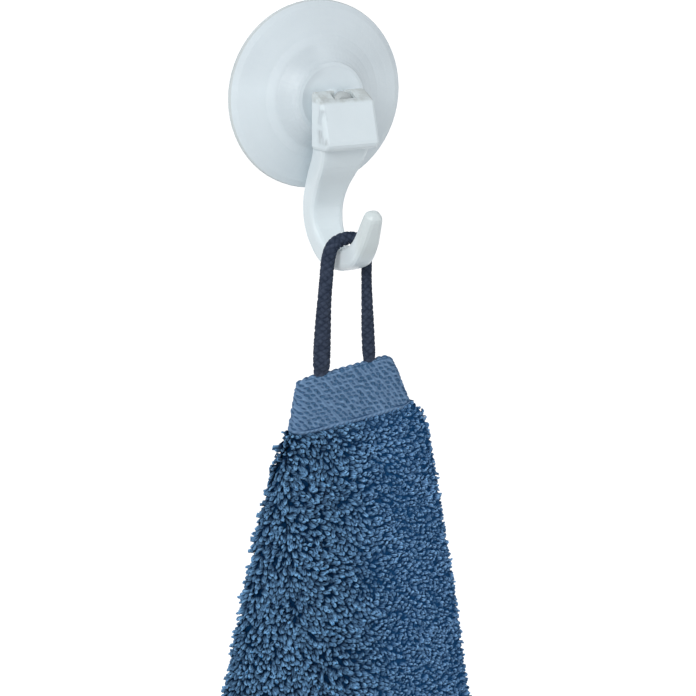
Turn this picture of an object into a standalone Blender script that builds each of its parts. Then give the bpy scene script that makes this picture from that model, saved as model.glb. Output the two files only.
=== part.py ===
"""Towel on a hook: a guest towel that hangs by its cord loop from a suction-cup hook.

Metres, +Z up. The origin is the middle of the cup's wall face, the wall is the plane y = 0, and the
front is -Y. The tables below are in millimetres and are scaled by MM where they are used.
"""
import math

import bmesh
import bpy
import numpy as np
from mathutils import Vector

MM = 0.001

# Suction cup: a shallow dome with a round boss, a neck and a knob, turned about the Y axis
CUP_SEGMENTS = 64
CUP_RADIUS = 27.1
CUP_RIM_THICKNESS = 1.1
VACUUM_POCKET_DEPTH = 1.2
VACUUM_POCKET_RADIUS = 24.0
CENTRE_PAD_RADIUS = 4.0
BOSS_RADIUS = 10.8
BOSS_FACE = 12.0
NECK_RADIUS = 2.0
KNOB_RADIUS = 3.0
KNOB_BACK = 17.2
KNOB_FRONT = 19.9

# Dome of the cup outside the boss: radius and distance from the wall
DOME = (
    (26.9, 1.6),
    (25.2, 2.6),
    (21.8, 3.9),
    (17.8, 5.6),
    (15.0, 7.2),
    (13.0, 8.7),
    (11.7, 9.8),
)

# Hook: the block that takes the knob, and its outline from the side (y, z)
BLOCK_WIDTH = 17.0
BLOCK_BACK = -15.3
BLOCK_TOP = 3.4
BLOCK_OUTLINE = (
    (BLOCK_BACK, BLOCK_TOP),
    (-21.9, 0.6),
    (-25.6, -11.2),
    (-24.2, -13.0),
    (BLOCK_BACK, -13.3),
)
BLOCK_BEVEL = 1.0
BLOCK_SHARP_ANGLE = 30
SOCKET_WIDTH = 6.8
SOCKET_BACK = -16.9
SOCKET_FRONT = -20.4
SOCKET_FLOOR = -3.8
NECK_HOLE_RADIUS = 2.32
NECK_HOLE_DEPTH = 6.0
NECK_SLOT_WIDTH = 3.5
CUT_ROOM = 4.0

# Hook: middle line of the arm, cradle and tongue (y, z), then its width, thickness and corner radius
ARM = (
    (-19.2, -9.0, 16.2, 7.6, 1.6),
    (-15.2, -16.6, 13.6, 7.4, 1.6),
    (-9.6, -23.8, 11.4, 7.2, 1.6),
    (-6.4, -31.0, 10.7, 6.8, 1.6),
    (-7.3, -38.0, 10.0, 6.7, 1.6),
    (-12.6, -43.8, 8.6, 6.8, 1.7),
    (-18.6, -44.9, 6.4, 6.5, 1.6),
    (-22.8, -44.3, 6.0, 6.3, 1.6),
    (-28.8, -42.2, 6.6, 6.2, 1.5),
    (-32.9, -38.2, 6.4, 5.4, 1.6),
    (-35.7, -33.2, 5.7, 5.0, 1.8),
    (-37.1, -30.5, 5.2, 4.8, 1.9),
)
ARM_STEPS = 5
ARM_CORNER_STEPS = 3
TIP_ROUNDING = ((0.9, 0.92), (1.7, 0.68), (2.2, 0.3))

# Hanging loop: a round cord over the cradle, both ends meeting the hem
CORD_DIAMETER = 3.8
CORD_SPACING = 2.6
CORD_ROUTE = (
    (-8.9, -22.6, -76.47),
    (-8.6, -22.6, -68.0),
    (-8.0, -22.5, -58.0),
    (-7.3, -22.5, -50.0),
    (-6.5, -22.5, -43.4),
    (-4.6, -22.5, -39.7),
    (-0.2, -22.6, -38.3),
    (4.1, -22.7, -39.6),
    (5.4, -22.8, -43.6),
    (5.4, -22.9, -50.0),
    (5.6, -22.9, -58.0),
    (6.0, -22.8, -68.0),
    (6.4, -22.7, -74.06),
)

# Towel: the cut cloth. It hangs by the middle of its top hem, where a straight stretch stays level,
# and from the ends of that stretch the cloth falls in rays and pleats behind the front.
CLOTH_WIDTH = 300.0
CLOTH_LENGTH = 500.0
HEM_BAND = 16.0
SIDE_HEM = 7.0
HEM_THICKNESS = 2.2
TERRY_THICKNESS = 4.2
HEM_STEP = 1.6
STRAIGHT_HEM = 29.8
HEM_MIDDLE = (-0.9, -75.9)
HEM_TILT = 0.157
TILT_FADE = 85.0
WING_GIVE = 0.85
FOLD_SEGMENTS = 5
RUN_SEGMENTS = 4
WALK_STEP = 0.3
SHORTEST_EDGE = 0.7
STATION_MATCH = 0.02
HEM_TURN_RADIUS = 1.8
SIDE_TURN_RADIUS = 3.0
INNER_TURN_RADIUS = 2.7
BOTTOM_CURVE_START = 340.0

# Lateral fold line where the pleats of both sides meet, for the first and the second pleat
MEETING_LINES = (3.0, -3.0)
MEETING_ROOM = 5.4

# How much of the front's crown each layer takes, from the front layer to the rear one
LAYER_CROWN = (1.0, 0.6, 0.6, 0.35, 0.35, 0.2)
LEFT_REACH = (1.0, 1.0, 0.8, 0.8, 0.66, 0.66)
RIGHT_REACH = (1.0, 1.0, 0.95, 0.95, 0.9, 0.9)

# Shape of the hung towel by depth below its hem: reach of the front to the left and to the right,
# place of the front's middle, slope of the front at its sides, slope and pitch of the flutes
SHAPE_COLUMNS = ("depth", "left", "right", "front", "crown", "flute", "pitch", "phase")
SHAPE = (
    (0.0, 11.6, 12.7, -22.7, 0.10, 0.00, 60.0, 0.0),
    (10.0, 13.4, 16.4, -22.9, 0.12, 0.00, 60.0, 0.0),
    (16.0, 14.4, 19.6, -23.2, 0.16, 0.00, 60.0, 0.0),
    (22.0, 16.8, 24.4, -24.2, 0.26, 0.03, 60.0, 0.2),
    (42.0, 23.4, 28.2, -27.6, 0.40, 0.06, 60.0, 0.5),
    (68.0, 29.8, 32.3, -31.0, 0.48, 0.08, 60.0, 0.8),
    (94.0, 36.0, 35.0, -34.0, 0.50, 0.10, 60.0, 1.1),
    (135.0, 43.0, 41.4, -37.0, 0.50, 0.14, 60.0, 1.5),
    (200.0, 50.0, 50.0, -36.0, 0.44, 0.24, 60.0, 2.1),
    (300.0, 58.0, 60.0, -32.0, 0.34, 0.38, 61.0, 2.7),
    (400.0, 65.0, 67.0, -29.5, 0.26, 0.48, 62.0, 3.1),
    (500.0, 70.5, 73.0, -28.5, 0.20, 0.55, 63.0, 3.4),
)

# Depths at which the cloth's sections are built
TOWEL_DEPTHS = (
    0.0, 2.5, 5.0, 8.0, 11.0, 14.0, 15.2, 16.8, 19.0, 22.0, 26.0, 31.0, 37.0, 44.0, 52.0, 61.0,
    71.0, 82.0, 94.0, 106.0, 118.0, 128.0, 133.0, 135.1, 135.6, 136.6, 138.4, 141.5, 147.0, 156.0,
    169.0, 186.0, 207.0, 230.0, 255.0, 280.0, 306.0, 332.0, 358.0, 384.0, 410.0, 436.0, 460.0,
    474.0, 483.2, 484.8, 493.0, 500.0,
)


def clear_scene():
    """Empty the file before the part is made."""
    for item in list(bpy.data.objects):
        bpy.data.objects.remove(item, do_unlink=True)


def make_material(name, color, roughness, metallic=0.0):
    """A plain Principled material in the part's colour."""
    material = bpy.data.materials.new(name)
    material.use_nodes = True
    shader = material.node_tree.nodes["Principled BSDF"]
    shader.inputs["Base Color"].default_value = (*color, 1.0)
    shader.inputs["Roughness"].default_value = roughness
    shader.inputs["Metallic"].default_value = metallic
    return material


def mesh_object(name, vertices, faces, material):
    """An object from vertices in millimetres, with its faces turned outwards."""
    mesh = bpy.data.meshes.new(name)
    mesh.from_pydata([Vector(v) * MM for v in vertices], [], faces)
    work = bmesh.new()
    work.from_mesh(mesh)
    bmesh.ops.recalc_face_normals(work, faces=work.faces)
    work.to_mesh(mesh)
    work.free()
    mesh.materials.append(material)
    item = bpy.data.objects.new(name, mesh)
    bpy.context.scene.collection.objects.link(item)
    return item


def shade(item, angle_degrees):
    """Smooth shading with sharp edges above an angle."""
    item.data.shade_smooth()
    item.data.set_sharp_from_angle(angle=math.radians(angle_degrees))


def smooth_step(value, low, high):
    """0 below low, 1 above high and an even ramp between them."""
    share = min(1.0, max(0.0, (value - low) / (high - low)))
    return share * share * (3.0 - 2.0 * share)


def smooth_curve(points, steps):
    """A smooth curve through the given rows, with a number of steps for each span."""
    rows = [np.array(p, float) for p in points]
    rows = [2 * rows[0] - rows[1]] + rows + [2 * rows[-1] - rows[-2]]
    curve = []
    for a, b, c, d in zip(rows, rows[1:], rows[2:], rows[3:]):
        for step in range(steps):
            u = step / steps
            curve.append(0.5 * (2 * b + (c - a) * u + (2 * a - 5 * b + 4 * c - d) * u * u
                                + (3 * b - a - 3 * c + d) * u ** 3))
    curve.append(rows[-2])
    return np.array(curve)


def helper(item):
    """Mark an object that only shapes another one."""
    item.hide_render = True
    item.display_type = "WIRE"
    return item


def add_boolean(item, operation, other):
    """Join or cut an object with a helper."""
    modifier = item.modifiers.new(operation.lower(), "BOOLEAN")
    modifier.operation = operation
    modifier.object = other
    modifier.solver = "EXACT"


def suction_cup(material):
    """The cup, its boss, neck and knob as one turned body on the Y axis."""
    profile = [
        (0.0, 0.0),
        (CENTRE_PAD_RADIUS, 0.0),
        (CENTRE_PAD_RADIUS + 1.0, VACUUM_POCKET_DEPTH),
        (VACUUM_POCKET_RADIUS, VACUUM_POCKET_DEPTH),
        (VACUUM_POCKET_RADIUS + 1.2, 0.0),
        (CUP_RADIUS - 0.2, 0.0),
        (CUP_RADIUS, 0.3),
        (CUP_RADIUS, CUP_RIM_THICKNESS),
    ]
    profile += DOME
    profile += [
        (BOSS_RADIUS, BOSS_FACE - 1.2),
        (BOSS_RADIUS - 0.4, BOSS_FACE - 0.4),
        (BOSS_RADIUS - 1.4, BOSS_FACE),
        (NECK_RADIUS + 1.0, BOSS_FACE + 0.1),
        (NECK_RADIUS, BOSS_FACE + 0.9),
        (NECK_RADIUS, KNOB_BACK),
        (KNOB_RADIUS - 0.4, KNOB_BACK),
        (KNOB_RADIUS, KNOB_BACK + 0.5),
        (KNOB_RADIUS, KNOB_FRONT - 1.0),
        (KNOB_RADIUS - 1.0, KNOB_FRONT),
        (0.0, KNOB_FRONT),
    ]
    vertices = [(0.0, -profile[0][1], 0.0)]
    rings = []
    for radius, distance in profile[1:-1]:
        rings.append(len(vertices))
        for step in range(CUP_SEGMENTS):
            angle = 2 * math.pi * step / CUP_SEGMENTS
            vertices.append((radius * math.cos(angle), -distance, radius * math.sin(angle)))
    tip = len(vertices)
    vertices.append((0.0, -profile[-1][1], 0.0))
    faces = []
    for step in range(CUP_SEGMENTS):
        after = (step + 1) % CUP_SEGMENTS
        faces.append((0, rings[0] + step, rings[0] + after))
        for low, high in zip(rings, rings[1:]):
            faces.append((low + step, high + step, high + after, low + after))
        faces.append((rings[-1] + step, tip, rings[-1] + after))
    cup = mesh_object("suction_cup", vertices, faces, material)
    shade(cup, 40)


def section_ring(centre, across, width, thickness, corner):
    """One ring of the arm: a rectangle with rounded corners, across the middle line."""
    ring = []
    half_width = width / 2 - corner
    half_thickness = thickness / 2 - corner
    for quarter, (side, face) in enumerate(((1, 1), (-1, 1), (-1, -1), (1, -1))):
        for step in range(ARM_CORNER_STEPS + 1):
            angle = math.pi / 2 * (quarter + step / ARM_CORNER_STEPS)
            x = side * half_width + corner * math.cos(angle)
            n = face * half_thickness + corner * math.sin(angle)
            ring.append((x, centre[0] + across[0] * n, centre[1] + across[1] * n))
    return ring


def arm_body(material):
    """The arm, cradle and tongue: a rounded section swept along its middle line."""
    rows = smooth_curve(ARM, ARM_STEPS)
    middle = rows[:, :2]
    tangents = np.gradient(middle, axis=0)
    tangents /= np.linalg.norm(tangents, axis=1)[:, None]
    rings = []
    for (y, z, width, thickness, corner), tangent in zip(rows, tangents):
        across = (-tangent[1], tangent[0])
        rings.append(section_ring((y, z), across, width, thickness, corner))
    across = (-tangents[-1][1], tangents[-1][0])
    for advance, scale in TIP_ROUNDING:
        centre = middle[-1] + tangents[-1] * advance
        size = rows[-1][2:] * scale
        rings.append(section_ring(centre, across, *size))
    count = len(rings[0])
    vertices = [point for ring in rings for point in ring]
    faces = [tuple(range(count)), tuple(range(len(vertices) - count, len(vertices)))]
    for row in range(len(rings) - 1):
        for step in range(count):
            after = (step + 1) % count
            low = row * count
            faces.append((low + step, low + after, low + count + after, low + count + step))
    return helper(mesh_object("hook_arm_guide", vertices, faces, material))


def box_body(name, low, high, material):
    """A plain box between two corners."""
    vertices = [(x, y, z) for x in (low[0], high[0]) for y in (low[1], high[1])
                for z in (low[2], high[2])]
    faces = [(0, 1, 3, 2), (4, 6, 7, 5), (0, 4, 5, 1), (2, 3, 7, 6), (0, 2, 6, 4), (1, 5, 7, 3)]
    return helper(mesh_object(name, vertices, faces, material))


def neck_hole(material):
    """The round hole in the block's rear wall that takes the neck."""
    bpy.ops.mesh.primitive_cylinder_add(
        vertices=32, radius=NECK_HOLE_RADIUS * MM, depth=NECK_HOLE_DEPTH * MM,
        location=(0, (BLOCK_BACK + 1.0) * MM, 0), rotation=(math.pi / 2, 0, 0))
    hole = bpy.context.object
    hole.name = "neck_hole_guide"
    hole.data.materials.append(material)
    return helper(hole)


def hook(material):
    """The block with its socket and the slot that the neck snaps through, joined with the arm."""
    half = BLOCK_WIDTH / 2
    vertices = [(x, y, z) for x in (-half, half) for y, z in BLOCK_OUTLINE]
    count = len(BLOCK_OUTLINE)
    faces = [tuple(range(count)), tuple(range(count, 2 * count))]
    for step in range(count):
        after = (step + 1) % count
        faces.append((step, after, count + after, count + step))
    block = mesh_object("hook", vertices, faces, material)
    bevel = block.modifiers.new("soft_edges", "BEVEL")
    bevel.width = BLOCK_BEVEL * MM
    bevel.segments = 2
    bevel.limit_method = "ANGLE"
    bevel.angle_limit = math.radians(BLOCK_SHARP_ANGLE)
    socket_low = (-SOCKET_WIDTH / 2, SOCKET_FRONT, SOCKET_FLOOR)
    socket_high = (SOCKET_WIDTH / 2, SOCKET_BACK, BLOCK_TOP + CUT_ROOM)
    add_boolean(block, "UNION", arm_body(material))
    add_boolean(block, "DIFFERENCE", box_body("socket_guide", socket_low, socket_high, material))
    add_boolean(block, "DIFFERENCE", neck_hole(material))
    slot_low = (-NECK_SLOT_WIDTH / 2, SOCKET_BACK - 1.0, 0.0)
    slot_high = (NECK_SLOT_WIDTH / 2, BLOCK_BACK + 1.0, BLOCK_TOP + CUT_ROOM)
    add_boolean(block, "DIFFERENCE", box_body("neck_slot_guide", slot_low, slot_high, material))
    shade(block, 35)


def hanging_loop(material):
    """The cord loop as a tube on a smooth curve through its route."""
    fine = smooth_curve(CORD_ROUTE, 24)
    lengths = np.concatenate(([0], np.cumsum(np.linalg.norm(np.diff(fine, axis=0), axis=1))))
    count = int(lengths[-1] / CORD_SPACING) + 1
    places = np.linspace(0, lengths[-1], count)
    points = np.column_stack([np.interp(places, lengths, fine[:, axis]) for axis in range(3)])
    curve = bpy.data.curves.new("hanging_loop", "CURVE")
    curve.dimensions = "3D"
    spline = curve.splines.new("POLY")
    spline.points.add(count - 1)
    for target, point in zip(spline.points, points):
        target.co = (*(point * MM), 1.0)
    curve.bevel_depth = CORD_DIAMETER / 2 * MM
    curve.bevel_resolution = 2
    curve.use_fill_caps = True
    curve.materials.append(material)
    cord = bpy.data.objects.new("hanging_loop", curve)
    bpy.context.scene.collection.objects.link(cord)


def towel_shape(depth):
    """The row of the shape table at a depth, as a dictionary."""
    rows = smooth_curve(SHAPE, 8)
    return {name: float(np.interp(depth, rows[:, 0], rows[:, k])) for k, name in enumerate(SHAPE_COLUMNS)}


def half_length(depth):
    """Length of cloth from the middle to its edge at a depth below the hem's corner."""
    span = (CLOTH_WIDTH - STRAIGHT_HEM) / 2
    angle = math.pi / 2 if depth <= span else math.asin(span / depth)
    return STRAIGHT_HEM / 2 + WING_GIVE * angle * depth


def lateral_slope(out, side, layer, shape):
    """Slope of a layer towards the wall, going outwards: the crown and the flutes."""
    reach = shape["right"] if side > 0 else shape["left"]
    crown = shape["crown"] * abs(out / reach) ** 1.4 * math.copysign(1.0, out)
    wave = shape["flute"] * math.sin(2 * math.pi * side * out / shape["pitch"] + shape["phase"])
    return LAYER_CROWN[layer] * crown + side * wave


def turn_place(layer, side, shape):
    """Lateral place where a layer turns: outwards at its reach, inwards at the meeting line."""
    if layer % 2 == 0:
        return shape["right"] * RIGHT_REACH[layer] if side > 0 else shape["left"] * LEFT_REACH[layer]
    return MEETING_ROOM + side * MEETING_LINES[layer // 2 % 2]


def heading_of(layer, slope):
    """Direction of travel along a layer: even layers run outwards, odd ones inwards."""
    return math.atan(slope) + (math.pi if layer % 2 else 0.0)


def walk_half(depth, side):
    """Walk along the cloth from the front's middle to its edge, over the front and its pleats.

    Gives rows of station, length, outward place, place from the wall and heading. The station counts
    1 for each whole run and 1 for each whole turn, so that rows of two depths can be matched.
    """
    shape = towel_shape(depth)
    total = half_length(depth)
    out, y, length = 0.0, shape["front"], 0.0
    rows = []

    def step(station, heading):
        nonlocal out, y, length
        rows.append((station, length, out, y, heading))
        out += math.cos(heading) * WALK_STEP
        y += math.sin(heading) * WALK_STEP
        length += WALK_STEP

    for layer in range(len(LAYER_CROWN)):
        limit = turn_place(layer, side, shape)
        start = out
        while length <= total and (out - limit) * (limit - start) < 0:
            share = (out - start) / (limit - start)
            step(2 * layer + share, heading_of(layer, lateral_slope(out, side, layer, shape)))
        begin = heading_of(layer, lateral_slope(out, side, layer, shape))
        end = heading_of(layer + 1, lateral_slope(out, side, min(layer + 1, len(LAYER_CROWN) - 1), shape))
        radius = INNER_TURN_RADIUS if layer % 2 else SIDE_TURN_RADIUS
        radius += (HEM_TURN_RADIUS - radius) * (1.0 - smooth_step(depth, 0.5 * HEM_BAND, 2.0 * HEM_BAND))
        steps = max(1, round(abs(end - begin) * radius / WALK_STEP))
        for count in range(steps):
            if length <= total:
                share = (count + 0.5) / steps
                step(2 * layer + 1 + count / steps, begin + (end - begin) * share)
    return np.array(rows), total


def cloth_row(depth):
    """One section of the towel: its points from the left edge to the right one, as dictionaries."""
    halves = []
    for side in (-1, 1):
        path, total = walk_half(depth, side)
        last = float(np.interp(total, path[:, 1], path[:, 0]))
        stations = []
        for layer in range(len(LAYER_CROWN)):
            stations += [2 * layer + k / RUN_SEGMENTS for k in range(RUN_SEGMENTS)]
            stations += [2 * layer + 1 + k / FOLD_SEGMENTS for k in range(FOLD_SEGMENTS)]
        for band in (HEM_BAND, SIDE_HEM):
            for offset in (-HEM_STEP / 2, HEM_STEP / 2):
                stations.append(float(np.interp(total - band - offset, path[:, 1], path[:, 0])))
        lengths = np.interp(sorted(stations), path[:, 0], path[:, 1])
        kept = []
        for station, length in zip(sorted(stations), lengths):
            if station < last and length < total - SHORTEST_EDGE:
                if not kept or length > kept[-1][1] + SHORTEST_EDGE:
                    kept.append((station, length))
        kept.append((last, total))
        points = []
        for station, length in kept:
            values = [float(np.interp(length, path[:, 1], path[:, k])) for k in (2, 3, 4)]
            points.append(cloth_point(depth, side, station, length, *values))
        halves.append(points)
    return halves[0][:0:-1] + halves[1]


def cloth_point(depth, side, station, length, out, y, heading):
    """A point of the hung cloth: its place, its outer normal and its place on the flat cloth."""
    beyond = max(0.0, length - STRAIGHT_HEM / 2)
    angle = beyond / (depth * WING_GIVE) if depth > 0 else 0.0
    bottom = 1.0 + smooth_step(depth, BOTTOM_CURVE_START, CLOTH_LENGTH) * (1.0 / math.cos(angle) - 1.0)
    across = min(length, STRAIGHT_HEM / 2) + depth * bottom * math.sin(angle)
    along = depth * bottom * math.cos(angle)
    tilt = HEM_TILT * side * out * (1.0 - smooth_step(depth, 0.0, TILT_FADE))
    place = (HEM_MIDDLE[0] + side * out, y, HEM_MIDDLE[1] + tilt - depth * bottom)
    normal = (side * math.sin(heading), -math.cos(heading), 0.0)
    return {"station": side * station, "place": np.array(place), "normal": np.array(normal),
            "half": half_thickness(across, along)}


def half_thickness(across, along):
    """Half the cloth's thickness: thin in the woven hems, full in the terry."""
    end_room = min(along, CLOTH_LENGTH - along)
    side_room = CLOTH_WIDTH / 2 - across
    terry = min(smooth_step(end_room, HEM_BAND - HEM_STEP / 2, HEM_BAND + HEM_STEP / 2),
                smooth_step(side_room, SIDE_HEM - HEM_STEP / 2, SIDE_HEM + HEM_STEP / 2))
    return (HEM_THICKNESS + (TERRY_THICKNESS - HEM_THICKNESS) * terry) / 2


def stitch(upper, lower):
    """Faces between two rows of stations, as corners (row, index) going round each face."""
    faces = []
    i, j = 0, 0
    while i < len(upper) - 1 or j < len(lower) - 1:
        ahead = (upper[i + 1] if i < len(upper) - 1 else math.inf,
                 lower[j + 1] if j < len(lower) - 1 else math.inf)
        if abs(ahead[0] - ahead[1]) < STATION_MATCH:
            faces.append(((0, i), (1, j), (1, j + 1), (0, i + 1)))
            i, j = i + 1, j + 1
        elif ahead[0] < ahead[1]:
            faces.append(((0, i), (1, j), (0, i + 1)))
            i += 1
        else:
            faces.append(((0, i), (1, j), (1, j + 1)))
            j += 1
    return faces


def towel(material):
    """The towel: the hung cloth's two faces, a thickness apart, closed along its edges."""
    rows = [cloth_row(depth) for depth in TOWEL_DEPTHS]
    vertices = []
    starts = []
    for row in rows:
        starts.append(len(vertices))
        for point in row:
            vertices.append(point["place"] + point["normal"] * point["half"])
            vertices.append(point["place"] - point["normal"] * point["half"])
    faces = []
    for upper in range(len(rows) - 1):
        stations = [[point["station"] for point in row] for row in rows[upper:upper + 2]]
        for face in stitch(*stations):
            corners = [starts[upper + row] + 2 * index for row, index in face]
            faces.append(tuple(corners))
            faces.append(tuple(corner + 1 for corner in reversed(corners)))
        for index in (0, -1):
            high = starts[upper] + 2 * (index % len(rows[upper]))
            low = starts[upper + 1] + 2 * (index % len(rows[upper + 1]))
            faces.append((high, high + 1, low + 1, low))
    for row, start in ((rows[0], starts[0]), (rows[-1], starts[-1])):
        for index in range(len(row) - 1):
            corner = start + 2 * index
            faces.append((corner, corner + 1, corner + 3, corner + 2))
    shade(mesh_object("towel", vertices, faces, material), 50)


def main():
    clear_scene()
    plastic = make_material("white_plastic", (0.78, 0.82, 0.84), 0.4)
    suction_cup(plastic)
    hook(make_material("hook_plastic", (0.76, 0.80, 0.82), 0.38))
    hanging_loop(make_material("navy_cord", (0.028, 0.035, 0.06), 0.75))
    towel(make_material("blue_terry", (0.09, 0.18, 0.32), 0.95))


main()
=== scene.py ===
import math

import bpy
import numpy as np
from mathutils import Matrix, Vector
from mathutils.bvhtree import BVHTree


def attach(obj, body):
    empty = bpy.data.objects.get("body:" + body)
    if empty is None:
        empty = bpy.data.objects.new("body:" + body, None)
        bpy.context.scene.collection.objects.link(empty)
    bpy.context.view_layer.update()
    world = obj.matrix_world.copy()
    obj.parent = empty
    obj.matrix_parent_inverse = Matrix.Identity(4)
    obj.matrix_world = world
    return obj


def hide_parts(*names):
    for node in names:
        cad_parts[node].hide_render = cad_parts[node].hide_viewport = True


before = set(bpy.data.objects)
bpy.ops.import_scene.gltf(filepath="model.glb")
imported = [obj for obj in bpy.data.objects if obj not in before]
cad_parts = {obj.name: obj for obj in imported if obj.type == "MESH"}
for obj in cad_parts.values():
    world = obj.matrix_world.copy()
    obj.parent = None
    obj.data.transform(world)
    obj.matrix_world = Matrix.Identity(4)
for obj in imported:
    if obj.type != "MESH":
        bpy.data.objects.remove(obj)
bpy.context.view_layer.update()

MM = 0.001
SEED = 7

# View of the photograph: the point in the picture's middle and the direction to the camera
LOOK_AT = (0.98, -20.0, -70.7)
AZIMUTH = -27.3
ELEVATION = 11.7
CAMERA_DISTANCE = 1400.0
PICTURE_WIDTH = 198.3
SENSOR = 36.0
CLIP = (0.05, 60.0)

# Colours of the cup and the hook, and the size of the mottling, scuffs and grain in their plastic
CUP_COLOR = (0.70, 0.775, 0.815)
HOOK_COLOR = (0.735, 0.815, 0.85)
MOTTLE_SCALE = 55.0
SCUFF_SCALE = 420.0
GRAIN_SCALE = 1500.0
SUBSURFACE_REACH = 3.0
MOTTLE_SHADE = 0.955
SCUFF_SHADE = 0.72
SCUFF_STRETCH = 0.35
ROUGHNESS_SPREAD = (-0.06, 0.08)
# Share of a mark's reach where its soft edge starts
SOFT_EDGE = 0.6

# Marks on the cup, as middle and reach in mm, and their tints: faint moulding rings, and painted shade on
# a cone left of the boss, on the upper part, as a line along the rim and on the knob in the socket
RING_SCALE = 420.0
RING_TINT = (0.988, 0.99, 0.992)
CONE_RADIUS = (11.6, 4.7)
CONE_ACROSS = (-13.0, 12.0)
CONE_SHADE_TINT = (0.89, 0.895, 0.90)
UPPER_SHADE_HEIGHT = (24.0, 22.0)
UPPER_SHADE_TINT = (0.925, 0.925, 0.93)
RIM_LINE_RADIUS = (27.2, 0.5)
RIM_SHADE_TINT = (0.88, 0.865, 0.84)
KNOB_DEPTH = (-18.6, 2.2)
KNOB_SHADE_TINT = (0.66, 0.65, 0.63)

# Marks on the hook, as middle and reach in mm, and their tints: painted shade on the block, its top and
# the tongue's tip
RUB_AND_SHADE_SCALE = 330.0
RUB_AND_SHADE_STRETCH = 0.3
BLOCK_HEIGHT = (-4.0, 11.0)
BLOCK_DEPTH = (-24.0, 5.0)
BLOCK_SHADE_TINT = (0.95, 0.95, 0.955)
TOP_HEIGHT = (2.4, 2.6)
TOP_DEPTH = (-18.0, 5.0)
TOP_SHADE_TINT = (0.87, 0.865, 0.85)
TOP_PATCHY_SHADE_TINT = (0.82, 0.81, 0.79)
TIP_DEPTH = (-40.5, 9.0)
TIP_SHADE_TINT = (0.88, 0.875, 0.85)
SCUFF_DEPTH = (-23.0, 4.5)
# Scuffs on the block's left edge: place across, reach, height, reach up and down, and tint
SCUFFS = (
    (-8.3, 1.3, -3.4, 2.6, (0.74, 0.75, 0.76)),
    (-8.4, 0.7, -9.0, 2.4, (0.70, 0.70, 0.70)),
)

# Hanging loop: the route of the cord and its braid
CORD_DIAMETER = 3.8
CORD_ROUTE = (
    (-8.9, -22.6, -76.47),
    (-8.6, -22.6, -68.0),
    (-8.0, -22.5, -58.0),
    (-7.3, -22.5, -50.0),
    (-6.5, -22.5, -43.4),
    (-4.6, -22.5, -39.7),
    (-0.2, -22.6, -38.3),
    (4.1, -22.7, -39.6),
    (5.4, -22.8, -43.6),
    (5.4, -22.9, -50.0),
    (5.6, -22.9, -58.0),
    (6.0, -22.8, -68.0),
    (6.4, -22.7, -74.06),
)
ROUTE_STEPS = 30
CORD_SIDES = 40
CORD_STEP = 0.25
BRAID_STRANDS = 5
BRAID_PITCH = 9.0
BRAID_DEPTH = 0.14
BRAID_BEND = 0.55
BEND_RATES = (1.3, 0.7)
BRAID_GAP = 0.45
BRAID_SINK = 0.55
SURFACE_ROOM = 0.10
OVAL_SHARE = 0.05
OVAL_TURN = 9.0
# Uneven colour of the braid, with painted shade in the gaps between strands: weight of the cloudy noise,
# and the sums that are darkest and lightest
CORD_CLOUD = 8.0
CORD_SHADES = (1.7, 6.6)
# Size of the cord along its length: it is thinner behind the tongue and swells at the left end
CORD_SIZES = ((0.0, 1.34), (0.18, 1.22), (0.3, 1.12), (0.42, 1.04), (0.5, 1.0), (0.62, 0.82),
              (0.8, 0.92), (1.0, 1.04))
# Step from each end of the route to the cord's end, which is inside the hem and sewn flat there
CORD_END = (0.0, 0.0, -1.4)
SEWN_FLAT = ((0.0, 0.35), (1.6, 0.42), (3.6, 1.0))

# Towel: the cut cloth, its hems, and the way it hangs by the middle of its top hem
CLOTH_WIDTH = 300.0
CLOTH_LENGTH = 500.0
HEM_BAND = 16.0
SIDE_HEM = 7.0
HEM_THICKNESS = 2.0
GROUND_THICKNESS = 1.3
HEM_STEP = 1.0
STRAIGHT_HEM = 29.8
HEM_MIDDLE = (-0.9, -75.9)
HEM_TILT = 0.157
TILT_FADE = 85.0
WING_GIVE = 0.85
WALK_STEP = 0.4
END_ROOM = 2.0
HEM_TURN_RADIUS = 1.8
HEM_TURN_FADE = (8.0, 32.0)
CROWN_POWER = 1.4
CORNER_DROP = 1.1
CORNER_REACH = 1.7
CORNER_FADE = 5.0
SIDE_TURN_RADIUS = 3.0
INNER_TURN_RADIUS = 2.7
BOTTOM_CURVE_START = 340.0
MEETING_LINES = (3.0, -3.0)
MEETING_ROOM = 5.4
LAYER_CROWN = (1.0, 0.6, 0.6, 0.35, 0.35, 0.2)
LEFT_REACH = (1.0, 1.0, 0.8, 0.8, 0.66, 0.66)
RIGHT_REACH = (1.0, 1.0, 0.95, 0.95, 0.9, 0.9)
SHAPE_STEPS = 8
SHAPE_COLUMNS = ("depth", "left", "right", "front", "crown", "flute", "pitch", "phase")
SHAPE = (
    (0.0, 11.6, 12.7, -22.7, 0.10, 0.00, 60.0, 0.0),
    (10.0, 13.4, 16.4, -22.9, 0.12, 0.00, 60.0, 0.0),
    (16.0, 14.4, 19.6, -23.2, 0.16, 0.00, 60.0, 0.0),
    (22.0, 16.8, 24.4, -24.2, 0.26, 0.03, 60.0, 0.2),
    (42.0, 23.4, 28.2, -27.6, 0.40, 0.06, 60.0, 0.5),
    (68.0, 29.8, 32.3, -31.0, 0.48, 0.08, 60.0, 0.8),
    (94.0, 36.0, 35.0, -34.0, 0.50, 0.10, 60.0, 1.1),
    (135.0, 43.0, 41.4, -37.0, 0.50, 0.14, 60.0, 1.5),
    (200.0, 50.0, 50.0, -36.0, 0.44, 0.24, 60.0, 2.1),
    (300.0, 58.0, 60.0, -32.0, 0.34, 0.38, 61.0, 2.7),
    (400.0, 65.0, 67.0, -29.5, 0.26, 0.48, 62.0, 3.1),
    (500.0, 70.5, 73.0, -28.5, 0.20, 0.55, 63.0, 3.4),
)

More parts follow.
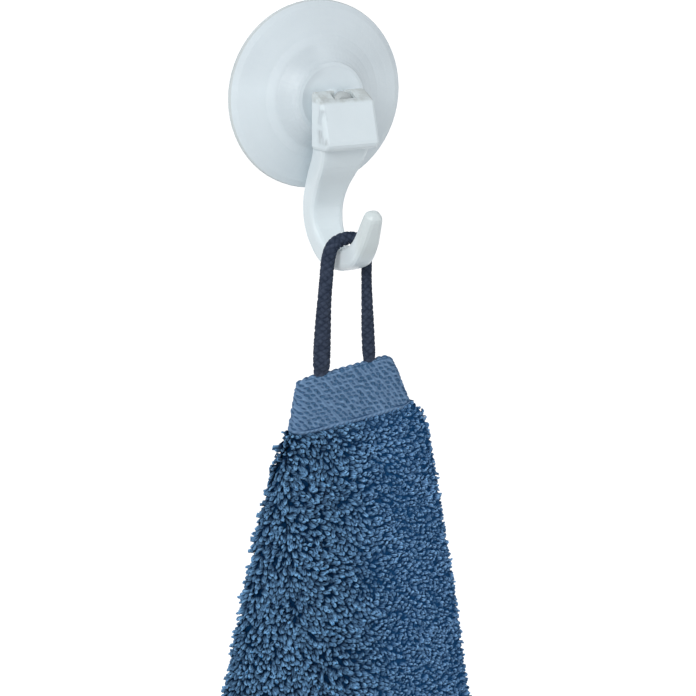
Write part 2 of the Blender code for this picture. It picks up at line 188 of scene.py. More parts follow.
# Spacing of the sheet's grid lines: across, outside and inside its middle part, and along
SHEET_MIDDLE = 45.0
SHEET_ACROSS = (3.0, 1.25)
SHEET_ALONG = (0.8, 4.0, 2.0)
SHEET_FADE = (-0.6, 0.4)

# Furrow down the front near its left side: place across, reach to each side, depth, and its ends
FURROW = (-19.5, 3.2, 1.5)
FURROW_ENDS = (14.0, 26.0, 48.0, 66.0)
# Places across between which the loops turn to the lean of the furrow's left side
FURROW_SIDE = (-23.5, -18.0)

# Wear: the loops are shorter and finer to the right of the front, and evenly half worn lower down
WORN_ACROSS = (-14.0, 16.0)
WORN_LOW = (165.0, 240.0)
LOW_WORN = 0.5

# Pile: the loops that show in the picture are close and round, the rest are plainer
PILE_PITCH = (0.96, 1.04)
PILE_JITTER = 0.4
PILE_ROOM = 0.3
# First row of loops: its place below the hem's lower line, and how far above it loops are drawn down
FIRST_ROW = (0.1, 0.6)
THINNED_LEFT = 0.08
THINNED_ACROSS = (-14.0, 10.0)
PLAIN_PITCH = (2.0, 2.34)
PICTURE_LENGTH = 125.0
PICTURE_BOTTOM = -187.0
BORDER_REACH = 11.0
PICTURE_FACING = -0.3
YARN_RADIUS = 0.34
PLAIN_YARN_RADIUS = 0.48
YARN_SPREAD = (0.88, 1.1)
YARN_WORN = 0.2
PLY_DEPTH = 0.2
PLY_TURNS = 2.5
ROOT_DEPTH = 0.25
# Lean of a loop from straight down, in degrees: on the left, added where worn, and left of the furrow
LOOP_LEAN = (42.0, 66.0, -60.0)
LEAN_WAVE = 0.38
LEAN_WAVE_PITCH = 20.0
LEAN_SPREAD = (0.62, 0.15)
# Length of a loop: its mean, the change where worn, and the swing
LOOP_LENGTH = (1.75, -0.6, 0.12)
LENGTH_WAVE_PITCH = 16.0
LENGTH_SPREAD = (0.75, 1.3)
LOOP_WIDTH = (0.45, 0.8)
WIDTH_WORN = 0.15
# Longer loops where the outline shows just below the hem: reach, facing limit and added share
EDGE_LOOPS = (2.6, 0.45, 0.6)
LOOP_TILT = (24.0, 16.0)
LOOP_CURL = (20.0, 110.0)
LOOP_TWIST = 1.5
# Share of a loop's width at its foot, and how much wider it is higher up
LOOP_SWELL = (0.75, 0.55)
# How much longer, wider and thicker the plain loops are
PLAIN_SIZE = (1.5, 2.0, 1.15)
# Points along a loop and sides round it
FINE_LOOP = (6, 4)
PLAIN_LOOP = (4, 3)
PIECE_TRIANGLES = 190000
# Room test for a loop: its height above the ground, length of the rays in metres, and least free share
SEEN_HEIGHT = 1.2
SEEN_REACH = 0.15
SEEN_SHARE = 0.05
SLANTING_RAY = (0.82, 0.57)
DIRECTION_STEP = 0.4
# Painted shade of a loop, dark at the root and on its flanks: height of its tip, less where worn, its
# limit, and how much it falls off at the flanks
TIP_HEIGHT = (1.6, 0.55)
SHADE_LIMIT = 1.25
FLANK_SHADE = (0.62, 0.38)

# Woven hem: staggered pits, slanting ridges, and the ribbed fold along its lower edge, with painted shade
# in the pits, between the ridges, in the fold's ribs and in the groove above it
WEAVE_STEP = 0.22
WEAVE_REACH = 46.0
WEAVE_START = -1.0
WEAVE_LEVEL = 0.14
WEAVE_ROOM = 0.10
ROLL_START = 0.8
ROLL_REACH = 1.8
PIT_PITCH = (1.8, 2.4)
PIT_SIZE = (0.82, 0.36)
PIT_TURN = 32.0
PIT_DEPTH = 0.6
# Table of random changes for the pits, and how much place, turn and strength change
PIT_TABLE = (61, 13)
PIT_SHIFT = 0.28
PIT_TURN_SPREAD = 16.0
PIT_STRENGTH = (0.8, 0.3)
RIDGE_HEIGHT = 0.1
RIDGE_SHADE = 0.28
RIDGE_PHASE = 0.9
HEM_FOLD = (14.8, 15.9)
HEM_FOLD_HEIGHT = 0.3
# The fold's upper edge, from its start, and the places across where it fades on the right and the left
FOLD_EDGE = (-0.3, 0.1)
RIGHT_FOLD_FADE = (15.5, 19.5)
LEFT_FOLD_FADE = (13.0, 17.0)
FOLD_RIB_PITCH = (1.5, 2.2)
FOLD_RIB_DEPTH = 0.35
FOLD_RIB_SHADE = 0.3
GROOVE_ABOVE = 0.1
GROOVE_REACH = 0.25
GROOVE_SHADE = (0.5, 0.3)
# How slowly the fold's ribs and its groove change across
FOLD_WAVES = (1.7, 2.3)
# The hem's lower line rises at the sides: places across where the rise starts and ends, and its height
RIGHT_LINE_RISE = (17.5, 25.0, 4.2)
LEFT_LINE_RISE = (13.0, 22.0, 1.6)
SCALLOP_PITCH = 2.35
SCALLOP_HEIGHT = 0.75
SCALLOP_LEAST = 0.3

# Studio: lamps as name, place in metres, size and power
FLOOR_Z = -0.612
FLOOR_HALF = 20.0
WORLD_COLOR = (0.96, 0.98, 1.0, 1.0)
WORLD_STRENGTH = 0.52
FLOOR_GLOW = 0.66
LAMPS = (
    ("key", (-1.0, -0.75, 0.6), 0.6, 12.0),
    ("fill", (0.9, -0.9, 0.1), 0.9, 3.0),
    ("rear", (0.2, 1.2, 0.5), 0.9, 5.0),
)
LAMP_AIM = (0.0, -0.02, -0.2)


def link(item):
    """Put a new object in the scene."""
    bpy.context.scene.collection.objects.link(item)
    return item


def mesh_piece(name, vertices, quads, smooth=True):
    """An object from an array of vertices in millimetres and an array of quads."""
    mesh = bpy.data.meshes.new(name)
    vertices = np.asarray(vertices, dtype=np.float32).reshape(-1, 3) * MM
    quads = np.asarray(quads, dtype=np.int32).reshape(-1, 4)
    mesh.vertices.add(len(vertices))
    mesh.vertices.foreach_set("co", vertices.ravel())
    mesh.loops.add(quads.size)
    mesh.loops.foreach_set("vertex_index", quads.ravel())
    mesh.polygons.add(len(quads))
    mesh.polygons.foreach_set("loop_start", np.arange(0, quads.size, 4, dtype=np.int32))
    mesh.update(calc_edges=True)
    mesh.validate()
    if smooth:
        mesh.shade_smooth()
    return link(bpy.data.objects.new(name, mesh))


def grid_quads(rows, count):
    """The quads between the vertices of a grid."""
    index = np.arange(rows * count).reshape(rows, count)
    corners = (index[:-1, :-1], index[1:, :-1], index[1:, 1:], index[:-1, 1:])
    return np.stack(corners, axis=-1).reshape(-1, 4)


def store(mesh, name, *parts):
    """Keep up to three numbers for each vertex as an attribute that the shaders read."""
    values = np.zeros((len(mesh.vertices), 3), dtype=np.float32)
    for k, part in enumerate(parts):
        values[:, k] = np.ravel(part)
    layer = mesh.attributes.new(name, "FLOAT_VECTOR", "POINT")
    layer.data.foreach_set("vector", values.ravel())


def smooth_curve(points, steps):
    """A smooth curve through the given rows, with a number of steps for each span."""
    rows = [np.array(p, float) for p in points]
    rows = [2 * rows[0] - rows[1]] + rows + [2 * rows[-1] - rows[-2]]
    curve = []
    for a, b, c, d in zip(rows, rows[1:], rows[2:], rows[3:]):
        for step in range(steps):
            u = step / steps
            curve.append(0.5 * (2 * b + (c - a) * u + (2 * a - 5 * b + 4 * c - d) * u * u
                                + (3 * b - a - 3 * c + d) * u ** 3))
    curve.append(rows[-2])
    return np.array(curve)


def smooth_step(value, low, high):
    """0 below low, 1 above high and an even ramp between them."""
    share = np.clip((np.asarray(value, float) - low) / (high - low), 0.0, 1.0)
    return share * share * (3.0 - 2.0 * share)


def unit(vectors):
    """Vectors of length 1."""
    return vectors / np.maximum(np.linalg.norm(vectors, axis=-1, keepdims=True), 1e-9)


def make_camera():
    """The camera at the photograph's angle, with a long lens."""
    azimuth, elevation = math.radians(AZIMUTH), math.radians(ELEVATION)
    away = Vector((math.sin(azimuth) * math.cos(elevation), -math.cos(azimuth) * math.cos(elevation),
                   math.sin(elevation)))
    data = bpy.data.cameras.new("camera")
    data.sensor_width = SENSOR
    data.lens = SENSOR * CAMERA_DISTANCE / PICTURE_WIDTH
    data.clip_start, data.clip_end = CLIP
    camera = link(bpy.data.objects.new("camera", data))
    camera.location = (Vector(LOOK_AT) + away * CAMERA_DISTANCE) * MM
    camera.rotation_euler = away.to_track_quat("Z", "Y").to_euler()
    bpy.context.scene.camera = camera
    return np.array(away)


def material(name):
    """An empty Principled material, with its node tree and its shader."""
    new = bpy.data.materials.new(name)
    new.use_nodes = True
    return new, new.node_tree, new.node_tree.nodes["Principled BSDF"]


def give(tree, socket, value):
    """Give an input its value, which is another node's output or a plain value."""
    if isinstance(value, bpy.types.NodeSocket):
        tree.links.new(value, socket)
    else:
        socket.default_value = value


def set_up(tree, node, values):
    """Give a node its settings and its input values."""
    for key, value in values.items():
        if key in node.inputs:
            give(tree, node.inputs[key], value)
        else:
            setattr(node, key, value)
    return node


def add(tree, kind, **values):
    """A shader node with its settings and its input values."""
    return set_up(tree, tree.nodes.new("ShaderNode" + kind), values)


def noise(tree, place, **values):
    """A noise texture over a place."""
    return add(tree, "TexNoise", Vector=place, **values).outputs[0]


def stretched_noise(tree, place, height, **values):
    """A noise texture that is stretched upwards."""
    return noise(tree, add(tree, "Mapping", Vector=place, Scale=(1.0, 1.0, height)).outputs[0], **values)


def result(tree, operation, *inputs):
    """The result of an operation on its input values."""
    node = add(tree, "Math", operation=operation)
    for socket, value in zip(node.inputs, inputs):
        give(tree, socket, value)
    return node.outputs[0]


def ranged(tree, source, old, new, kind="LINEAR"):
    """A value taken from an old range to a new one."""
    ends = dict(zip(("From Min", "From Max", "To Min", "To Max"), (*old, *new)))
    return add(tree, "MapRange", interpolation_type=kind, Value=source, **ends).outputs[0]


def parts_of(tree, source):
    """The three parts of a vector."""
    return add(tree, "SeparateXYZ", Vector=source).outputs


def attribute_parts(tree, name):
    """The three numbers of an attribute of the mesh."""
    return parts_of(tree, add(tree, "Attribute", attribute_name=name).outputs["Vector"])


def mixed(tree, amount, first, second, blend="MIX"):
    """A mix of two colours, as far as an amount says."""
    mix = add(tree, "Mix", data_type="RGBA", blend_type=blend, Factor=amount, A=first, B=second)
    return mix.outputs["Result"]


def raise_surface(tree, shader, height, strength, distance):
    """Fine relief in the shading, from a height."""
    bump = add(tree, "Bump", Strength=strength, Distance=distance * MM, Height=height)
    give(tree, shader.inputs["Normal"], bump.outputs[0])


def ramp(tree, source, stops):
    """A colour ramp over a value, through the given places and colours."""
    node = add(tree, "ValToRGB", Fac=source)
    elements = node.color_ramp.elements
    for place, color in stops[2:]:
        elements.new(place)
    for element, (place, color) in zip(elements, stops):
        element.position = place
        element.color = (*color, 1.0)
    return node.outputs[0]


def cord_points(step):
    """Points at even steps along the cord's route, which runs a little into the hem at both ends."""
    fine = smooth_curve(CORD_ROUTE, ROUTE_STEPS)
    start = fine[0] + CORD_END
    end = fine[-1] + CORD_END
    fine = np.vstack((start, fine, end))
    lengths = np.concatenate(([0], np.cumsum(np.linalg.norm(np.diff(fine, axis=0), axis=1))))
    places = np.linspace(0, lengths[-1], int(lengths[-1] / step) + 1)
    return np.column_stack([np.interp(places, lengths, fine[:, k]) for k in range(3)]), places


def make_cord():
    """The braided cord: strands wind both ways, a little unevenly, with narrow gaps between them."""
    points, places = cord_points(CORD_STEP)
    tangents = unit(np.gradient(points, axis=0))
    front = np.tile((0.0, -1.0, 0.0), (len(points), 1))
    front = unit(front - tangents * np.sum(front * tangents, axis=1, keepdims=True))
    side = np.cross(tangents, front)
    angles = np.linspace(0, 2 * math.pi, CORD_SIDES, endpoint=False)
    far = places[:, None]
    winding = 2 * math.pi * far / BRAID_PITCH
    fast, slow = BEND_RATES
    bend = BRAID_BEND * (np.sin(fast * far + angles) + np.sin(slow * far - 2 * angles))
    one = np.cos(BRAID_STRANDS * angles + BRAID_STRANDS * winding + bend)
    other = np.cos(BRAID_STRANDS * angles - BRAID_STRANDS * winding + bend)
    relief = 1.0 - 2.0 * smooth_step(np.maximum(one, other), BRAID_GAP, 1.0)
    flatten = 1.0 + OVAL_SHARE * np.cos(2 * (angles - far / OVAL_TURN))
    size = np.interp(far / places[-1], *zip(*CORD_SIZES))
    radius = (CORD_DIAMETER / 2 * size - SURFACE_ROOM) * flatten + BRAID_DEPTH * (relief - BRAID_SINK)
    end_room = np.minimum(places, places[-1] - places)
    flat = np.interp(end_room, *zip(*SEWN_FLAT))[:, None, None]
    ring = (np.cos(angles)[None, :, None] * front[:, None, :] * flat
            + np.sin(angles)[None, :, None] * side[:, None, :])
    vertices = points[:, None, :] + ring * radius[:, :, None]
    index = np.arange(len(points) * CORD_SIDES).reshape(len(points), CORD_SIDES)
    after = np.roll(index, -1, axis=1)
    quads = np.stack((index[:-1], after[:-1], after[1:], index[1:]), axis=-1)
    cord = mesh_piece("braided_loop", vertices, quads)
    # The relief is also kept for the colour, which paints shade into the braid's gaps.
    store(cord.data, "braid", relief)
    cord.data.materials.append(cord_material())
    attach(cord, "root")
    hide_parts("hanging_loop")


def cord_material():
    """Dark navy polyester braid: lighter strands and painted shade in the gaps between them, a little
    uneven.
    """
    new, tree, shader = material("braided_cord")
    place = add(tree, "TexCoord").outputs["Object"]
    relief = attribute_parts(tree, "braid")["X"]
    cloud = noise(tree, place, Scale=620.0, Detail=2.0)
    # The cloudy noise gives uneven tone; the braid's relief adds painted shade in the gaps.
    uneven = result(tree, "MULTIPLY_ADD", cloud, CORD_CLOUD, relief)
    color = ramp(tree, ranged(tree, uneven, CORD_SHADES, (0.0, 1.0)), [
        (0.0, (0.010, 0.018, 0.038)), (1.0, (0.046, 0.062, 0.100)), (0.5, (0.022, 0.033, 0.059))])
    grain = noise(tree, place, Scale=2600.0, Detail=3.0)
    raise_surface(tree, shader, grain, strength=0.5, distance=0.2)
    set_up(tree, shader, {"Base Color": color, "Roughness": 0.8, "Specular IOR Level": 0.15})
    return new


def near(tree, source, middle, reach):
    """1 where a coordinate is at a place and 0 beyond a reach from it, with a soft edge."""
    away = result(tree, "ABSOLUTE", result(tree, "SUBTRACT", source, middle * MM))
    edge = (SOFT_EDGE * reach * MM, reach * MM)
    return ranged(tree, away, edge, (1.0, 0.0), "SMOOTHSTEP")


def product(tree, *factors):
    """The product of several node outputs."""
    total = factors[0]
    for factor in factors[1:]:
        total = result(tree, "MULTIPLY", total, factor)
    return total


def tinted(tree, source, amount, tint):
    """A colour multiplied by a tint, as far as an amount says."""
    return mixed(tree, amount, source, (*tint, 1.0), "MULTIPLY")


def scuffs_and_shade_hook(tree, place, source):
    """Marks on the hook: scuffs of use on the block's left edge, and painted shade: a darker block, a
    grey, patchy top and a darker tip.
    """
    across, deep, high = parts_of(tree, place)
    # One noise gives both the scuffs and the patches of painted shade on the top.
    rubs_and_shade = stretched_noise(tree, place, RUB_AND_SHADE_STRETCH, Scale=RUB_AND_SHADE_SCALE, Detail=3.0, Roughness=0.6)
    patchy = ramp(tree, rubs_and_shade, [(0.43, (0.0, 0.0, 0.0)), (0.60, (1.0, 1.0, 1.0))])
    for middle, reach, height, room, tint in SCUFFS:
        amount = product(tree, patchy, near(tree, across, middle, reach),
                         near(tree, high, height, room), near(tree, deep, *SCUFF_DEPTH))
        source = tinted(tree, source, amount, tint)
    # Painted shade: the block is a little darker than the arm.
    block = product(tree, near(tree, high, *BLOCK_HEIGHT), near(tree, deep, *BLOCK_DEPTH))
    source = tinted(tree, source, block, BLOCK_SHADE_TINT)
    # Painted shade: the open top of the socket is grey, as if in shadow.
    top = product(tree, near(tree, high, *TOP_HEIGHT), near(tree, deep, *TOP_DEPTH))
    source = tinted(tree, source, top, TOP_SHADE_TINT)
    # Painted shade: the top's grey is deeper in patches.
    source = tinted(tree, source, product(tree, top, patchy), TOP_PATCHY_SHADE_TINT)
    # Painted shade: the tongue's tip is darker, against the light that falls on it.
    return tinted(tree, source, near(tree, deep, *TIP_DEPTH), TIP_SHADE_TINT)


def mark_cup(tree, place, source):
    """Faint moulding rings, and painted shade: a darker upper part, a darker cone left of the boss, a
    dark line along the rim and a grey knob.
    """
    flat = add(tree, "VectorMath", operation="MULTIPLY")
    for socket, value in zip(flat.inputs, (place, (1.0, 0.0, 1.0))):
        give(tree, socket, value)
    radius = add(tree, "VectorMath", operation="LENGTH", Vector=flat.outputs[0]).outputs["Value"]
    rings = add(tree, "TexNoise", noise_dimensions="1D", W=radius, Scale=RING_SCALE, Detail=2.0)
    bands = ramp(tree, rings.outputs[0], [(0.35, (0.0, 0.0, 0.0)), (0.65, (1.0, 1.0, 1.0))])
    source = tinted(tree, source, bands, RING_TINT)
    across, deep, high = parts_of(tree, place)
    # Painted shade, darkening the cone left of the boss.
    cone = product(tree, near(tree, radius, *CONE_RADIUS), near(tree, across, *CONE_ACROSS))
    source = tinted(tree, source, cone, CONE_SHADE_TINT)
    # Painted shade: the upper part of the cup is darker, as if lit less.
    source = tinted(tree, source, near(tree, high, *UPPER_SHADE_HEIGHT), UPPER_SHADE_TINT)
    # Painted shade: a dark line along the rim.
    source = tinted(tree, source, near(tree, radius, *RIM_LINE_RADIUS), RIM_SHADE_TINT)
    # Painted shade: the knob inside the hook's socket is grey, as if in its shadow.
    return tinted(tree, source, near(tree, deep, *KNOB_DEPTH), KNOB_SHADE_TINT)


def plastic_material(name, color, roughness, scuff, marks_of):
    """Milky moulded plastic: soft mottling, a fine moulded grain, small scuffs and its own marks, among
    them painted shade.
    """
    new, tree, shader = material(name)
    place = add(tree, "TexCoord").outputs["Object"]
    cloud = noise(tree, place, Scale=MOTTLE_SCALE, Detail=4.0)
    tint = ramp(tree, cloud, [(0.3, tuple(c * MOTTLE_SHADE for c in color)), (0.7, color)])
    marks = stretched_noise(tree, place, SCUFF_STRETCH, Scale=SCUFF_SCALE, Detail=6.0, Roughness=0.75)
    picked = ramp(tree, marks, [(0.66, (0.0, 0.0, 0.0)), (0.74, (1.0, 1.0, 1.0))])
    dark = (*(c * SCUFF_SHADE for c in color), 1.0)
    scuffed = mixed(tree, result(tree, "MULTIPLY", picked, scuff), tint, dark)
    grain = noise(tree, place, Scale=GRAIN_SCALE, Detail=2.0)
    raise_surface(tree, shader, grain, strength=0.12, distance=0.2)
    least, most = ROUGHNESS_SPREAD
    rough = ranged(tree, cloud, (0.0, 1.0), (roughness + least, roughness + most))
    set_up(tree, shader, {
        "Base Color": marks_of(tree, place, scuffed), "Roughness": rough, "Specular IOR Level": 0.4,
        "Subsurface Weight": 0.3, "Subsurface Radius": (SUBSURFACE_REACH * MM,) * 3})
    return new


def dress_hook():
    """Materials of the cup and the hook."""
    vinyl = plastic_material("cup_vinyl", CUP_COLOR, roughness=0.42, scuff=0.15, marks_of=mark_cup)
    plastic = plastic_material("hook_plastic", HOOK_COLOR, roughness=0.36, scuff=0.4, marks_of=scuffs_and_shade_hook)
    for name, finish in (("suction_cup", vinyl), ("hook", plastic)):
        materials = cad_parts[name].data.materials
        materials.clear()
        materials.append(finish)


SHAPES = smooth_curve(SHAPE, SHAPE_STEPS)


def towel_shape(depth):
    """The row of the shape table at a depth, as a dictionary."""
    return {name: float(np.interp(depth, SHAPES[:, 0], SHAPES[:, k]))
            for k, name in enumerate(SHAPE_COLUMNS)}


def lateral_slope(out, side, layer, shape):
    """Slope of a layer towards the wall, going outwards: the crown and the flutes."""
    reach = shape["right"] if side > 0 else shape["left"]
    crown = shape["crown"] * abs(out / reach) ** CROWN_POWER * math.copysign(1.0, out)
    wave = shape["flute"] * math.sin(2 * math.pi * side * out / shape["pitch"] + shape["phase"])
    return LAYER_CROWN[layer] * crown + side * wave


def turn_place(layer, side, shape):
    """Lateral place where a layer turns: outwards at its reach, inwards at the meeting line."""
    if layer % 2 == 0:
        return shape["right"] * RIGHT_REACH[layer] if side > 0 else shape["left"] * LEFT_REACH[layer]
    return MEETING_ROOM + side * MEETING_LINES[layer // 2 % 2]


def heading_of(layer, slope):
    """Direction of travel along a layer: even layers run outwards, odd ones inwards."""
    return math.atan(slope) + (math.pi if layer % 2 else 0.0)


def walk_half(depth, side, total):
    """Walk along the cloth from the front's middle over the front and its pleats.

    Gives rows of length, outward place, place from the wall, heading and layer.
    """
    shape = towel_shape(depth)
    out, y, length = 0.0, shape["front"], 0.0
    rows = []

    def step(heading, layer):
        nonlocal out, y, length
        rows.append((length, out, y, heading, layer))
        out += math.cos(heading) * WALK_STEP
        y += math.sin(heading) * WALK_STEP
        length += WALK_STEP

    last = len(LAYER_CROWN) - 1
    for layer in range(last + 1):
        limit = turn_place(layer, side, shape)
        start = out
        while length <= total and (out - limit) * (limit - start) < 0:
            step(heading_of(layer, lateral_slope(out, side, layer, shape)), layer)
        begin = heading_of(layer, lateral_slope(out, side, layer, shape))
        end = heading_of(layer + 1, lateral_slope(out, side, min(layer + 1, last), shape))
        radius = INNER_TURN_RADIUS if layer % 2 else SIDE_TURN_RADIUS
        radius += (HEM_TURN_RADIUS - radius) * (1.0 - smooth_step(depth, *HEM_TURN_FADE))
        steps = max(1, round(abs(end - begin) * radius / WALK_STEP))
        for count in range(steps):
            if length <= total:
                share = (count + 0.5) / steps
                step(begin + (end - begin) * share, layer + share)
    return np.array(rows)


class HungCloth:
    """The towel as it hangs: maps places on the flat cloth to places in the air."""

    DEPTH_STEP = 1.0
    LENGTH_STEP = 0.5

    def __init__(self):
        span = (CLOTH_WIDTH - STRAIGHT_HEM) / 2
        self.depths = np.arange(0.0, CLOTH_LENGTH + END_ROOM, self.DEPTH_STEP)
        longest = STRAIGHT_HEM / 2 + WING_GIVE * span * math.pi / 2 + END_ROOM
        self.lengths = np.arange(0.0, longest, self.LENGTH_STEP)
        self.maps = {}
        for side in (-1, 1):
            table = np.zeros((len(self.depths), len(self.lengths), 4))
            for row, depth in enumerate(self.depths):
                angle = math.pi / 2 if depth <= span else math.asin(span / depth)
                total = STRAIGHT_HEM / 2 + WING_GIVE * angle * depth + END_ROOM
                path = walk_half(depth, side, total)
                for k in range(4):
                    table[row, :, k] = np.interp(self.lengths, path[:, 0], path[:, k + 1])
            self.maps[side] = table

    def locate(self, across, along):
        """Places, outer normals and layers for flat places across and along the cloth."""
        across, along = np.asarray(across, float), np.asarray(along, float)
        side = np.where(across < 0, -1.0, 1.0)
        beyond = np.maximum(np.abs(across) - STRAIGHT_HEM / 2, 0.0)
        radial = np.hypot(beyond, along)
        angle = np.arctan2(beyond, np.maximum(along, 1e-6))
        angle = np.where(beyond > 0, angle, 0.0)
        depth = radial
        for _ in range(3):
            bend = smooth_step(depth, BOTTOM_CURVE_START, CLOTH_LENGTH)
            depth = radial / (1.0 + bend * (1.0 / np.maximum(np.cos(angle), 0.2) - 1.0))
        length = np.minimum(np.abs(across), STRAIGHT_HEM / 2) + WING_GIVE * angle * depth
        row = np.clip(depth / self.DEPTH_STEP, 0, len(self.depths) - 1.001)
        column = np.clip(length / self.LENGTH_STEP, 0, len(self.lengths) - 1.001)
        r, c = row.astype(int), column.astype(int)
        fr, fc = (row - r)[..., None], (column - c)[..., None]
        values = np.zeros(across.shape + (4,))
        for sign in (-1, 1):
            table = self.maps[sign]
            found = ((table[r, c] * (1 - fc) + table[r, c + 1] * fc) * (1 - fr)
                     + (table[r + 1, c] * (1 - fc) + table[r + 1, c + 1] * fc) * fr)
            values = np.where((side == sign)[..., None], found, values)
        out, y, heading, layer = np.moveaxis(values, -1, 0)
        tilt = HEM_TILT * side * out * (1.0 - smooth_step(depth, 0.0, TILT_FADE))
        place = np.stack((HEM_MIDDLE[0] + side * out, y, HEM_MIDDLE[1] + tilt - radial), axis=-1)
        normal = np.stack((side * np.sin(heading), -np.cos(heading), np.zeros_like(heading)), axis=-1)
        middle, reach, sink = FURROW
        start, full, fade, end = FURROW_ENDS
        furrow = np.exp(-((place[..., 0] - middle) / reach) ** 2) * (layer < 0.5)
        furrow = furrow * smooth_step(depth, start, full) * (1.0 - smooth_step(depth, fade, end))
        corner = np.exp(-((np.abs(across) - STRAIGHT_HEM / 2) / CORNER_REACH) ** 2)
        place[..., 2] -= CORNER_DROP * corner * (1.0 - smooth_step(along, 0.0, CORNER_FADE))
        return place - normal * (sink * furrow)[..., None], normal, layer


def half_thickness(across, along):
    """Half the thickness of the woven sheet: its hems are folded double."""
    end_room = np.minimum(along, CLOTH_LENGTH - along)
    side_room = CLOTH_WIDTH / 2 - np.abs(across)
    ground = np.minimum(smooth_step(end_room, HEM_BAND - HEM_STEP, HEM_BAND),
                        smooth_step(side_room, SIDE_HEM - HEM_STEP, SIDE_HEM))
    return (HEM_THICKNESS + (GROUND_THICKNESS - HEM_THICKNESS) * ground) / 2


def grid_lines(stops):
    """Line places through a table of ends and spacings."""
    lines = []
    for start, end, spacing in stops:
        lines.append(np.linspace(start, end, max(2, round((end - start) / spacing) + 1))[:-1])
    return np.concatenate(lines + [[stops[-1][1]]])


def worn_share(place):
    """How worn and short the pile is at a place, from 0 to 1."""
    right = smooth_step(place[..., 0], *WORN_ACROSS)
    low = smooth_step(-place[..., 2], *WORN_LOW)
    return right * (1.0 - low) + LOW_WORN * low


def picture_share(place, normal, view):
    """1 on the cloth that shows in the picture, 0 on the rest, with a soft lower border."""
    border = (-PICTURE_BOTTOM - BORDER_REACH, -PICTURE_BOTTOM + BORDER_REACH)
    above = 1.0 - smooth_step(-place[..., 2], *border)
    return above * (normal @ view > PICTURE_FACING)


def make_sheet(cloth, view):
    """The woven sheet of the towel with its folded hems, as a closed thin body."""
    edge = CLOTH_WIDTH / 2
    coarse, fine = SHEET_ACROSS
    across = grid_lines([(-edge, -SHEET_MIDDLE, coarse), (-SHEET_MIDDLE, SHEET_MIDDLE, fine),
                         (SHEET_MIDDLE, edge, coarse)])
    stops = (0.0, HEM_BAND, CLOTH_LENGTH - HEM_BAND, CLOTH_LENGTH)
    along = grid_lines(list(zip(stops, stops[1:], SHEET_ALONG)))
    s, t = np.meshgrid(across, along)
    place, normal, _ = cloth.locate(s, t)
    half = half_thickness(s, t)[..., None]
    outer = place + normal * half
    inner = place - normal * half
    quads = grid_quads(*s.shape)
    total = s.size
    index = np.arange(total).reshape(s.shape)
    rim = np.concatenate((index[0, :-1], index[:-1, -1], index[-1, :0:-1], index[:0:-1, 0]))
    after = np.roll(rim, -1)
    walls = np.stack((rim, after, after + total, rim + total), axis=-1)
    all_quads = np.vstack((quads, quads[:, ::-1] + total, walls))
    sheet = mesh_piece("towel_sheet", np.stack((outer, inner)), all_quads)
    end_room = np.minimum(t - HEM_BAND * hem_share(s), CLOTH_LENGTH - HEM_BAND - t)
    side_room = edge - np.abs(s) - SIDE_HEM
    terry = smooth_step(np.minimum(end_room, side_room), *SHEET_FADE)
    store(sheet.data, "flat", *(np.stack((values, values)) for values in (s * MM, t * MM, terry)))
    # Wear and the picture's border choose the ground's painted shade and painted loops.
    worn = worn_share(place)
    plain = 1.0 - picture_share(place, normal, view)
    store(sheet.data, "ground", np.stack((worn, worn)), np.stack((plain, np.ones_like(plain))))
    return sheet


def hem_share(across):
    """Height of the hem as a share of the band: it rises where the hem turns round at the sides."""
    start, end, rise = RIGHT_LINE_RISE
    left_start, left_end, left_rise = LEFT_LINE_RISE
    lift = rise * smooth_step(across, start, end)
    lift = lift + left_rise * smooth_step(-across, left_start, left_end)
    return 1.0 - lift / HEM_BAND


def hem_pits(rng, across, along):
    """Staggered slanting pits of the weave, each a little different."""
    pits = np.zeros_like(across)
    least, spread = PIT_STRENGTH
    for shift in (0.0, 0.5):
        column = across / PIT_PITCH[0] + shift + 0.5
        row = along / PIT_PITCH[1] + shift + 0.5
        i = np.floor(column).astype(int) % PIT_TABLE[0]
        j = np.floor(row).astype(int) % PIT_TABLE[1]
        change = rng.uniform(-1.0, 1.0, (*PIT_TABLE, 4))[i, j]
        ds = (column % 1.0 - 0.5) * PIT_PITCH[0] + PIT_SHIFT * change[..., 0]
        dt = (row % 1.0 - 0.5) * PIT_PITCH[1] + PIT_SHIFT * change[..., 1]
        turn = np.radians(PIT_TURN + PIT_TURN_SPREAD * change[..., 2])
        a = (ds * np.cos(turn) + dt * np.sin(turn)) / PIT_SIZE[0]
        b = (dt * np.cos(turn) - ds * np.sin(turn)) / PIT_SIZE[1]
        pits = np.maximum(pits, np.exp(-(a * a + b * b)) * (least + spread * change[..., 3]))
    return pits


